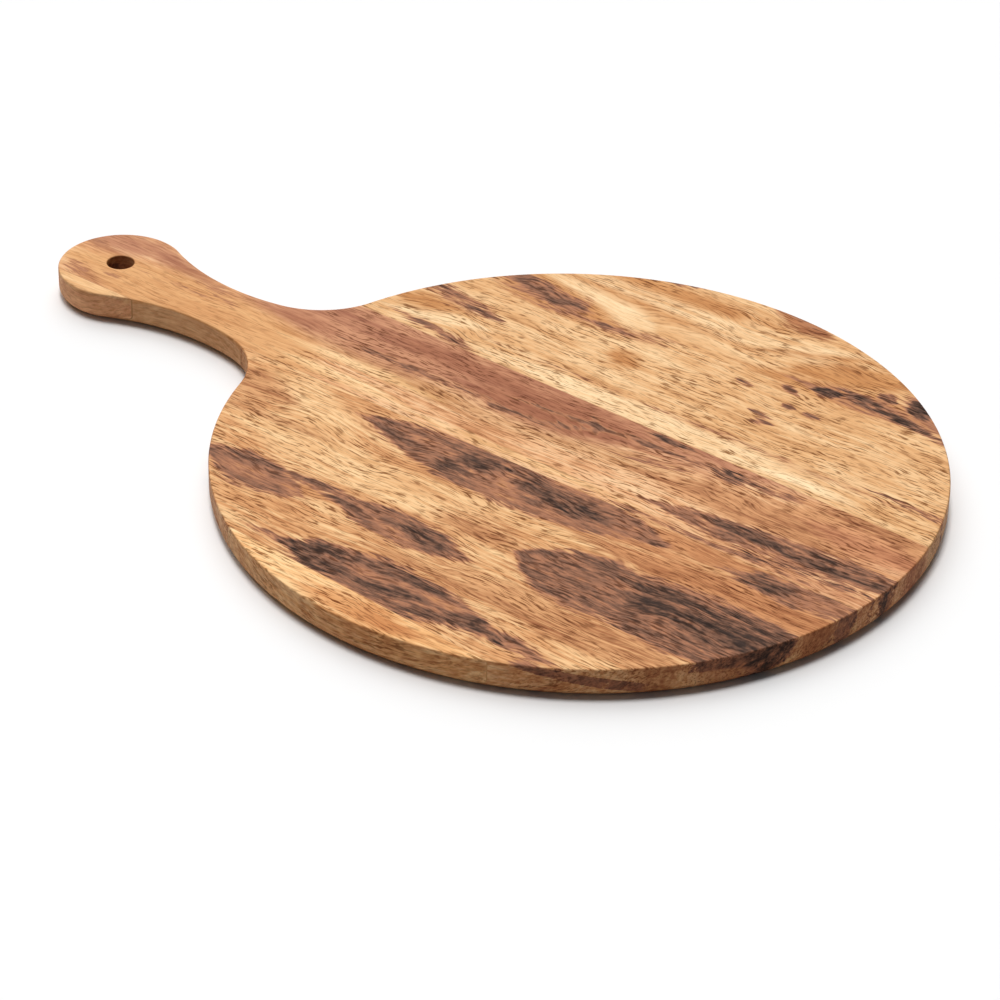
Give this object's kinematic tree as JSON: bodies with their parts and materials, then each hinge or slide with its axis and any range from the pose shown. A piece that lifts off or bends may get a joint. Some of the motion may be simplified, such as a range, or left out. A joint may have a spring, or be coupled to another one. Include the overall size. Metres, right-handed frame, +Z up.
{
  "type": "round serving board",
  "caption": "Round wooden serving board with a waisted paddle handle and a hanging hole, edge-glued from boards of warm hardwood with an eased top arris and a rounded lower edge.",
  "frame": {"origin": "centre of the round disc on the underside, the face that the board rests on", "axes": "+Z up through the serving face, -X along the handle and the grain, +Y to the back board"},
  "size_m": [0.4265, 0.3, 0.013],
  "materials": {
    "back_wood": "oiled satin, pale tan with small knots",
    "handle_wood": "oiled satin, red-brown heartwood paling to tan",
    "front_wood": "oiled satin, tan with dark flame figure",
    "edge_wood": "oiled satin, pale sapwood",
    "glue": "cured wood glue, thin amber-brown line"
  },
  "bodies": {
    "root": {"back_board": "back_wood", "handle_board": "handle_wood", "front_board": "front_wood", "handle_cheek": "front_wood", "front_edge_strip": "edge_wood", "glue_line_back": "glue", "glue_line_front": "glue", "glue_line_cheek": "glue", "glue_line_edge": "glue"}
  },
  "joints": []
}
